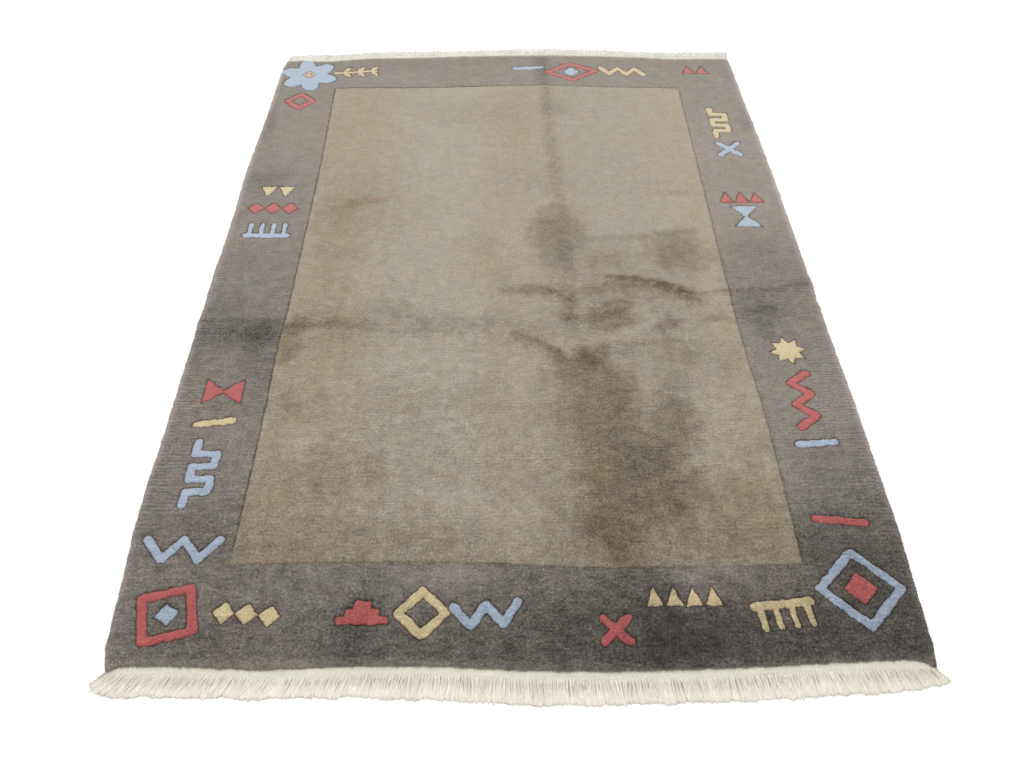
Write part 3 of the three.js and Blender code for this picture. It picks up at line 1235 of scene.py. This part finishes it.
def knot_ribs(nodes):
    """Thin crosswise lines between the rows of knots, which show in places and most along the sides."""
    bend = nodes.times(nodes.noise((50, 18, 50)), RIB_BEND)
    phase = nodes.plus(nodes.times(nodes.northing(), math.tau / RIB_PITCH), bend)
    shows = nodes.ramp(nodes.noise((80, 50, 50)), 0.44, 0.62, 0.10, 1.0)
    at_side = nodes.ramp(nodes.maths("ABSOLUTE", nodes.easting(), 0), 0.74, 0.82, 0.0, 1.0)
    broken = nodes.ramp(nodes.noise((34, 12, 50)), 0.40, 0.60, 0.2, 1.5)
    return nodes.times(
        nodes.maths("SINE", phase, 0),
        nodes.plus(shows, nodes.times(at_side, broken)),
        nodes.ramp(nodes.northing(), -1.05, -0.80, 0.25, 1.0),
        nodes.ramp(nodes.northing(), -0.05, 0.35, 1.0, 0.3),
    )


def wool_texture(nodes):
    """Brightness and height of the wool's uneven layers."""
    tones = []
    heights = []
    for layer in WOOL_LAYERS:
        uneven = nodes.noise(layer["size"], layer["detail"], layer["roughness"], layer["distortion"])
        tones.append(nodes.ramp(uneven, layer["low"], layer["high"], layer["dark"], layer["light"]))
        if layer["lift"]:
            heights.append(nodes.times(uneven, layer["lift"]))
    return nodes.plus(*tones), nodes.plus(*heights)


def carved_shadow(nodes, key, narrow, wide, off, weakest):
    """Painted shade of a carved line: 1 away from it, falling towards 0 in it. Its width, in mm, and its
    strength are uneven.
    """
    width = nodes.times(nodes.ramp(nodes.noise((20, 20, 20)), 0.35, 0.65, narrow, wide),
                        nodes.ramp(nodes.noise((7.5, 7.5, 7.5), 1.0), 0.35, 0.65, 0.60, 1.45))
    away = nodes.maths("ABSOLUTE", nodes.maths("SUBTRACT", nodes.attribute(key), off), 0)
    away = nodes.ramp(away, 0.0, width, 0.0, 1.0, "SMOOTHSTEP")
    faint = nodes.ramp(nodes.noise((45, 45, 30)), 0.40, 0.60, 0.0, weakest)
    return nodes.maths("MAXIMUM", away, faint)


def field_line_shadow(nodes):
    """Painted shade of the line clipped round the field: darkest on the left and faint at the near end."""
    return nodes.maths(
        "MAXIMUM",
        carved_shadow(nodes, "field", 2.8, 5.2, 0.0, 0.45),
        nodes.ramp(nodes.easting(), -0.60, 0.20, 0.0, 0.58),
        nodes.ramp(nodes.northing(), -0.72, -0.96, 0.0, 0.80),
    )


def wool_colour(nodes, patch_size, shades):
    """Wool in patches of its greyer and its browner shade."""
    patches = nodes.ramp(nodes.noise(patch_size, 4.0, 0.65), 0.3, 0.7, -0.35, 0.35)
    return nodes.mix(nodes.plus(nodes.attribute("warm"), patches), *shades)


def finish_wool(nodes, colour, shown_tone, clear, contrast):
    """Shades a wool colour with its texture and with the painted light and shade of the leaning pile and
    the carved lines.
    """
    texture, height = wool_texture(nodes)
    coarser = nodes.ramp(nodes.attribute("tone"), 0.60, 1.04, 2.2, 0.70)
    worn = nodes.ramp(nodes.northing(), -0.7, 0.1, 1.30, 1.0)
    ribs = nodes.times(knot_ribs(nodes), contrast)
    texture = nodes.times(texture, coarser, contrast, worn)
    texture = nodes.plus(texture, nodes.times(ribs, RIB_SHADE), MEAN_TONE)
    tone = nodes.maths("POWER", nodes.times(texture, shown_tone), DISPLAY_GAMMA)
    mottled = nodes.ramp(nodes.noise((70, 35, 30), 3.0, 0.6), 0.38, 0.62, 0.0, 1.0)
    colour = nodes.tinted(colour, nodes.mix(mottled, GREENER, ROSIER))
    colour = nodes.tinted(colour, nodes.mix(clear, CARVED_SHADE_TINT, WHITE))
    height = nodes.plus(height, nodes.times(ribs, RIB_LIFT))
    nodes.surface(nodes.scaled(colour, tone), height, **WOOL_FINISH)


def field_wool():
    material, nodes = new_material("field_wool")
    tone = nodes.attribute("tone")
    # the darker the pile's painted shade, the yellower its tint
    dark = nodes.ramp(tone, 0.95, 0.65, 0.0, 1.0)
    colour = nodes.tinted(wool_colour(nodes, (60, 50, 100), FIELD_SHADES), PAINTED_SHADE_TINT, dark)
    finish_wool(nodes, colour, tone, field_line_shadow(nodes), 1.0)
    return material


def border_wool():
    """The border's wool, with the motifs knotted into it."""
    material, nodes = new_material("border_wool")
    tone = nodes.attribute("tone")
    colour = wool_colour(nodes, (50, 40, 100), BORDER_SHADES)
    far_painted_light = nodes.ramp(nodes.northing(), -1.0, 1.1, 0.0, 1.0)
    # the motifs take only part of the pile's painted light and shade
    motif_tone = nodes.ramp(tone, 0.55, 1.0, 0.88, 1.03)
    clear = field_line_shadow(nodes)
    contrast = BORDER_CONTRAST
    for motif in MOTIF_WOOL:
        inside = nodes.ramp(nodes.attribute(motif["name"]), -0.5, 0.5, 1.0, 0.0)
        colour = nodes.mix(inside, colour, nodes.mix(far_painted_light, motif["near"], motif["far"]))
        tone = nodes.plus(tone, nodes.times(inside, nodes.maths("SUBTRACT", motif_tone, tone)))
        clear = nodes.maths("MINIMUM", clear, carved_shadow(nodes, motif["name"], 2.4, 4.2, 1.0, 0.30))
        contrast = nodes.maths("SUBTRACT", contrast, nodes.times(inside, MOTIF_SMOOTHER))
    finish_wool(nodes, colour, tone, clear, contrast)
    return material


def cotton(name, colour, streak_size, loose):
    """Undyed cotton with fine streaks the way its yarns run. Loose yarns bring painted shade in the gaps
    between them, in their tone attribute.
    """
    material, nodes = new_material(name)
    streaks = nodes.ramp(nodes.noise(streak_size), 0.25, 0.75, 1 - COTTON_STREAKS, 1 + COTTON_STREAKS)
    clouds = nodes.ramp(nodes.noise((90, 50, 50), 3.0), 0.3, 0.7, -COTTON_CLOUDS, COTTON_CLOUDS)
    tone = nodes.plus(streaks, clouds)
    if loose:
        shaded = nodes.attribute("tone")
        tone = nodes.times(tone, shaded)
        colour = nodes.tinted(colour, GAP_SHADE_TINT, nodes.ramp(shaded, 1.0, 0.72, 0.0, 1.0))
    tone = nodes.maths("POWER", tone, DISPLAY_GAMMA)
    fibre = nodes.noise([0.6 * part for part in streak_size])
    nodes.surface(nodes.scaled(colour, tone), fibre, **COTTON_FINISH)
    return material


def rug_back():
    """The back of the knots in flat rows, field and border in their own colours."""
    material, nodes = new_material("rug_back")
    warm = nodes.attribute("warm")
    inside = nodes.ramp(nodes.attribute("field"), -1.0, 1.0, 1.0, 0.0)
    colour = nodes.mix(inside, nodes.mix(warm, *BORDER_SHADES), nodes.mix(warm, *FIELD_SHADES))
    rows = nodes.noise((12, 3, 10), 1.0)
    nodes.surface(nodes.scaled(colour, nodes.ramp(rows, 0.3, 0.7, 0.70, 1.05)), rows, **BACK_FINISH)
    return material


# ---------- cotton and edge pieces ----------

def end_line(end, across):
    """Places along the pile's edge at one end of the rug."""
    along = ENDS[end]["along"]
    x = blend(look_up(SIDE_EDGES, "left", along), look_up(SIDE_EDGES, "right", along), across)
    return x + box_shift.x, look_up(END_EDGES, end, across) + box_shift.y


def web_taper(across):
    """The woven band narrows towards the rug's corners."""
    return np.clip(np.minimum(across, 1 - across) / WEB_TAPER, WEB_NARROWEST, 1)


def add_cotton_web(end, material):
    """The band that the pile's warps are woven into at one end."""
    outward = ENDS[end]["outward"]
    across = np.linspace(0.001, 0.999, WEB_COLUMNS)
    x, y = end_line(end, across)
    rng = np.random.default_rng(60 + ENDS[end]["seed"])
    width = 1 + wander(across, 63, 0.11, 0.10) + wander(across, 64, 0.012, 0.05)
    height = 1 + wander(across, 65, 0.07, 0.12)
    rings = []
    for step in WEB_SECTION:
        out = step["out"] * np.where(step["out"] > 0, width * web_taper(across), 1)
        ragged = rng.uniform(-WEB_RAGGED, WEB_RAGGED, len(across)) * (step["out"] > WEB_EDGE)
        rings.append(np.stack([x, y + outward * (out + ragged), step["up"] * height], 1))
    points = np.stack(rings, 1).reshape(-1, 3)
    ring_size = len(WEB_SECTION)
    number = numbered(WEB_COLUMNS, ring_size)
    cap = np.array([(i, i + 1, ring_size - 2 - i, ring_size - 1 - i) for i in range(ring_size // 2 - 1)])
    faces = np.vstack([tube_quads(number), cap[:, ::-1], cap + number[-1, 0]])[:, ::-outward]
    uv = grid_uv(WEB_COLUMNS, ring_size)[:, ::-1]
    return new_piece(f"cotton_web_{end}", points, faces, material, uv)


def lay_strands(end, layer, rng):
    """Points and brightness of one layer of strands, as arrays of strand by step by side."""
    outward, fringe = ENDS[end]["outward"], ENDS[end]["fringe"]
    count = layer["count"]
    number = np.arange(count)
    paired = np.where(number % 2, -PAIRED, PAIRED)
    share = (number + 0.5 + paired + rng.uniform(-STRAND_SHIFT, STRAND_SHIFT, count)) / count
    lean = (look_up(fringe, "lean", share) + wander(share, 73, 0.09, 0.004)
            + wander(share, 75, 0.040, layer["drift"]) + rng.normal(0, layer["spread"], count))
    reach = look_up(fringe, "reach", share) + wander(share, 74, 0.08, 0.0022)
    ragged = 1 + wander(share, 76, 0.010, ENDS[end]["ragged"]) + rng.normal(0, STRAND_CUT, count)
    start = (WEB_WIDTH * web_taper(share) - WEB_OVERLAP)[:, None]
    length = (reach * layer["length"] * ragged)[:, None] - start
    x0, y0 = end_line(end, np.clip(share, 0.002, 0.998))

    t = np.linspace(0, 1, STRAND_SEGMENTS + 1)[None]
    bend = rng.normal(0, STRAND_BEND, (count, 1))
    ripple = rng.normal(0, STRAND_RIPPLE, (count, 1))
    ripple = ripple * np.sin(math.tau * (t * 1.6 + rng.uniform(0, 1, (count, 1))))
    x = x0[:, None] + lean[:, None] * (0.75 * t + 0.25 * t ** 2) + bend * np.sin(math.pi * t) + ripple * t
    y = y0[:, None] + outward * (start + length * t)
    half_width = layer["half_width"] * rng.uniform(0.88, 1.12, (count, 1)) * (0.85 + 0.50 * t)
    half_width = half_width * np.sqrt(np.clip((1.01 - t) / TIP_ROUND, 0.03, 1))
    half_height = half_width * layer["flatness"]
    lie = half_height + LIES_OVER_FLOOR + layer["rise"] * (1 - t ** 4) + rng.uniform(0, 0.0004, (count, 1))
    z = STARTS_HIGHER * (1 - t) ** 3 + lie * (1 - (1 - t) ** 3)

    direction = np.stack([np.gradient(x, axis=1), np.gradient(y, axis=1)], -1)
    direction = unit(direction)
    angle = math.tau * np.arange(STRAND_SIDES) / STRAND_SIDES
    twist = math.tau * (t * length / TWIST_LENGTH + rng.uniform(0, 1, (count, 1)))
    lobes = 1 + YARN_BULGE * np.cos(2 * (angle - twist[..., None]))
    wide = outward * half_width[..., None] * lobes * np.cos(angle)
    tall = half_height[..., None] * lobes * np.sin(angle)
    points = np.stack([x[..., None] - direction[..., 1:] * wide, y[..., None] + direction[..., :1] * wide,
                       np.maximum(z[..., None] + tall, 0.0001)], -1)
    # painted shade at the sides of the strands, where the gaps between them fall
    gap = ENDS[end]["gaps"] * layer["gap"] * np.exp(-((t[..., None] - GAP_MIDDLE) / GAP_REACH) ** 2)
    shade = layer["tone"] * rng.normal(1, STRAND_SHADE, (count, 1, 1))
    return points, shade - gap * (0.5 + 0.5 * np.abs(np.cos(angle)))


def add_fringe(end, material):
    """The loose warp ends of one end, each a flattened two-ply strand."""
    rng = np.random.default_rng(70 + ENDS[end]["seed"])
    layers = [lay_strands(end, layer, rng) for layer in STRAND_LAYERS]
    points, shade = (np.concatenate(part) for part in zip(*layers))
    count, levels, sides = shade.shape
    number = numbered(levels, sides)
    cap = np.array([(0, 3, 2, 1), (0, 5, 4, 3)])
    one = np.vstack([tube_quads(number), cap, cap[:, ::-1] + number[-1, 0]])[:, ::ENDS[end]["outward"]]
    faces = repeat_faces(one, count, number.size)

    columns = math.ceil(count / 2)
    strand, level, side = np.indices(shade.shape)
    u = (strand % columns + 0.05 + 0.9 * side / (sides - 1)) / columns
    v = (strand // columns + 0.02 + 0.96 * level / (levels - 1)) / 2
    return new_piece(f"fringe_strands_{end}", points.reshape(-1, 3), faces, material,
                     np.stack([u.ravel(), v.ravel()], 1), {"tone": shade})


def foundation_lines(breaks, counts):
    """Lines of the knot grid that the foundation keeps: a few between each pair of breaks."""
    lines = [np.linspace(a, b, n, endpoint=False) for a, b, n in zip(breaks, breaks[1:], counts)]
    return np.rint(np.append(np.concatenate(lines), breaks[-1])).astype(int)


def add_foundation(material):
    """The woven back that the knots are tied round: a thin slab as wide and long as the pile."""
    rows = foundation_lines(ROW_BREAKS, (12, 72, 12))
    columns = foundation_lines(COLUMN_BREAKS, (12, 44, 12))
    size = (len(rows), len(columns))
    x, y, lift, field, warm = (grid[np.ix_(rows, columns)].ravel()
                               for grid in (*place_grid(), knots["lift"], knots["field"], knots["warm"]))
    bottom = np.stack([x, y, lift], -1)
    points = np.vstack([bottom, bottom + (0, 0, FOUNDATION_THICKNESS)])
    rim = grid_path(CLOSED_RIM, *size)
    quads = grid_quads(numbered(*size))
    wall = grid_quads(np.stack([rim, rim + len(bottom)]))
    faces = np.vstack([quads[:, ::-1], quads + len(bottom), wall])
    half = grid_uv(*size, UV_MARGIN) * (0.5, 1)
    uv = np.vstack([half, half + (0.5, 0)])
    return new_piece("foundation", points, faces, material, uv,
                     {"field": np.tile(field, 2), "warm": np.tile(warm, 2)})


# Each range is drawn evenly between its ends.
TUFTS_PER_METRE = 1700
TUFT_SIDES = 3
TUFT_DOWN = (0.0, 0.85)         # how far down the cut side a tuft sits, as a share
TUFT_LENGTH = (0.0022, 0.0046)
TUFT_LONGER = (1.0, 2.2)        # how many times longer tufts are at the near end
TUFT_HALF_WIDTH = (0.0006, 0.0011)
TUFT_ROOT = 0.0012              # of its length, hidden in the pile
TUFT_TONE = 0.06


def add_edge_tufts(material):
    """Single tufts that stick out of the cut sides of the pile."""
    rim = grid_path(CLOSED_RIM, *knots["x"].shape)
    edge = {key: knots[key].ravel()[rim] for key in ("x", "y", "z", "lift", "tone", "warm")}
    run = np.stack([np.diff(edge["x"]), np.diff(edge["y"])], 1)
    at = np.append(0, np.cumsum(np.linalg.norm(run, axis=1)))
    rng = np.random.default_rng(81)
    count = int(at[-1] * TUFTS_PER_METRE)
    s = rng.uniform(0, at[-1], count)
    here = {key: np.interp(s, at, value) for key, value in edge.items()}
    along = unit(run)[np.clip(np.searchsorted(at, s) - 1, 0, len(run) - 1)]
    outside = right_of(along)

    depth = rng.uniform(*TUFT_DOWN, count)
    aim_up = rng.normal(0.35, 0.40, count) - 0.5 * depth
    aim_side = rng.normal(0, 0.35, count)
    direction = unit(np.column_stack([outside + along * aim_side[:, None], aim_up]))
    at_near_end = outside[:, 1] < -0.7
    length = rng.uniform(*TUFT_LENGTH, count)
    length = length * np.where(at_near_end, rng.uniform(*TUFT_LONGER, count), 1)
    half_width = rng.uniform(*TUFT_HALF_WIDTH, count)
    across = unit(np.cross(direction, (0, 0, 1.0)))
    over = np.cross(across, direction)
    root = np.stack([here["x"], here["y"], blend(here["z"], here["lift"], depth)], 1)
    start = root - direction * TUFT_ROOT
    start[:, :2] += outside * 0.0004
    corners = [start + (across * math.cos(angle) + over * math.sin(angle)) * half_width[:, None]
               for angle in (math.tau * i / TUFT_SIDES for i in range(TUFT_SIDES))]
    points = np.stack([*corners, start + direction * length[:, None]], 1).reshape(-1, 3)
    points[:, 2] = np.maximum(points[:, 2], 0.0002)
    one = np.array([(0, 1, 3), (1, 2, 3), (2, 0, 3)])
    faces = repeat_faces(one, count, TUFT_SIDES + 1)
    # the tufts get the cut sides' painted light too, against the shade they cast on each other
    tone = cut_side_painted_tone(here["tone"], 0.6 + 0.4 * depth) * rng.normal(1, TUFT_TONE, count)
    values = {"tone": np.repeat(tone, TUFT_SIDES + 1), "warm": np.repeat(here["warm"], TUFT_SIDES + 1)}
    for key in ("field", *MOTIF_COLOURS):
        values[key] = np.full(len(points), FAR_AWAY * PER_UNIT["mm"])
    side = math.ceil(math.sqrt(count))
    corner = np.array([(0.1, 0.1), (0.9, 0.1), (0.9, 0.9), (0.1, 0.9)])
    cell = np.stack([np.arange(count) % side, np.arange(count) // side], 1)
    uv = ((cell[:, None] + corner[None]) / side).reshape(-1, 2)
    return new_piece("edge_tufts", points, faces, material, uv, values)


# ---------- build ----------

BORDER_KEYS = ("field", "tone", "warm", *MOTIF_COLOURS)
# The border strips: which of the grid's breaks they lie between, and the run of their cut side.
BORDERS = table("side rows columns rim", [
    ("near", (0, 1), (0, 3), [(1, 0), (0, 0), (0, 1), (1, 1)]),
    ("far", (2, 3), (0, 3), [(0, 1), (1, 1), (1, 0), (0, 0)]),
    ("left", (1, 2), (0, 1), [(1, 0), (0, 0)]),
    ("right", (1, 2), (2, 3), [(0, 1), (1, 1)]),
])

knots = make_knots()
border_material = border_wool()
pile_pieces = [pile_piece("field_pile", ROW_BREAKS[1:3], COLUMN_BREAKS[1:3], FIELD_STEP, CLOSED_RIM,
                          FIELD_WALL, field_wool(), ("field", "tone", "warm"))]
for border in BORDERS:
    row_range = [ROW_BREAKS[i] for i in border["rows"]]
    column_range = [COLUMN_BREAKS[i] for i in border["columns"]]
    pile_pieces.append(pile_piece(f"border_{border['side']}", row_range, column_range, 1, border["rim"],
                                  EDGE_WALL, border_material, BORDER_KEYS))
pile_pieces.append(add_edge_tufts(border_material))
foundation = add_foundation(rug_back())
for piece in [*pile_pieces, foundation]:
    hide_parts("pile_rug")

webs = {end: add_cotton_web(end, cotton(f"cotton_web_{end}", COTTON_WEB[end], (3.5, 6, 10), False))
        for end in ENDS}
fringes = {end: add_fringe(end, cotton(f"cotton_strands_{end}", COTTON[end], (3, 12, 10), True))
           for end in ENDS}
for end in ENDS:
    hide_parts(f"fringe_{end}")
    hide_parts(f"fringe_{end}")


# ---------- studio ----------

FLOOR_HALF = 14.0               # from the middle to each side
FLOOR_DROP = 0.0004             # the floor lies this far under the rug
FLOOR_WHITE = (0.86, 0.86, 0.86, 1.0)
# The camera sees the floor brighter by a glow, which grows between these distances from its middle.
FLOOR_NEAR = 2.0
FLOOR_FAR = 6.0


def make_floor():
    corners = [(-1, -1), (1, -1), (1, 1), (-1, 1)]
    places = [(x * FLOOR_HALF, y * FLOOR_HALF, -FLOOR_DROP) for x, y in corners]
    mesh = bpy.data.meshes.new("floor")
    mesh.from_pydata(places, [], [(0, 1, 2, 3)])
    floor = add_object("floor", mesh)
    material, nodes = new_material("white_floor")
    from_middle = nodes.add("VectorMath", {0: nodes.place()}, "Value", operation="LENGTH")
    strength = nodes.times(nodes.add("LightPath", {}, "Is Camera Ray"),
                           nodes.ramp(from_middle, FLOOR_NEAR, FLOOR_FAR, 0.42, 1.0))
    diffuse = nodes.add("BsdfDiffuse", {"Color": FLOOR_WHITE})
    glow = nodes.add("Emission", {"Color": WHITE, "Strength": strength})
    nodes.add("OutputMaterial", {"Surface": nodes.add("AddShader", {0: diffuse, 1: glow})})
    mesh.materials.append(material)


def make_world():
    """An even white sky that the camera sees as pure white."""
    world = bpy.data.worlds.new("studio")
    bpy.context.scene.world = world
    nodes = Nodes(world)
    strength = nodes.ramp(nodes.add("LightPath", {}, "Is Camera Ray"), 0.0, 1.0, 0.55, 1.0)
    nodes.add("OutputWorld", {"Surface": nodes.add("Background", {"Color": WHITE, "Strength": strength})})


def add_lamp(name, place, target, size, power):
    lamp = bpy.data.lights.new(name, "AREA")
    lamp.size = size
    lamp.energy = power
    holder = add_object(name, lamp)
    holder.location = place
    holder.rotation_euler = (Vector(target) - Vector(place)).to_track_quat("-Z", "Y").to_euler()


# The camera stands at eye height in front of the near end and looks down at the rug.
CAMERA_PLACE = Vector((-0.050, -1.921, 1.715))
LOOKS_DOWN = math.radians(48.86)
TURNED_RIGHT = math.radians(1.65)
LEANS = math.radians(1.13)
LENS_MM = 30.8


def make_camera():
    camera_data = bpy.data.cameras.new("camera")
    camera_data.lens = LENS_MM
    camera_data.sensor_width = 36.0
    camera = add_object("camera", camera_data)
    turned = Matrix.Rotation(-TURNED_RIGHT, 4, "Z") @ Matrix.Rotation(math.pi / 2 - LOOKS_DOWN, 4, "X")
    camera.matrix_world = Matrix.Translation(CAMERA_PLACE) @ turned @ Matrix.Rotation(LEANS, 4, "Z")
    bpy.context.scene.camera = camera


make_camera()
make_floor()
make_world()
add_lamp("softbox_above", (0.3, 0.1, 3.3), (0.1, 0.0, 0.0), 3.0, 51)
add_lamp("softbox_left", (-2.6, -0.4, 2.6), (0.0, 0.0, 0.0), 2.0, 14)
bpy.context.scene.view_settings.view_transform = "Standard"
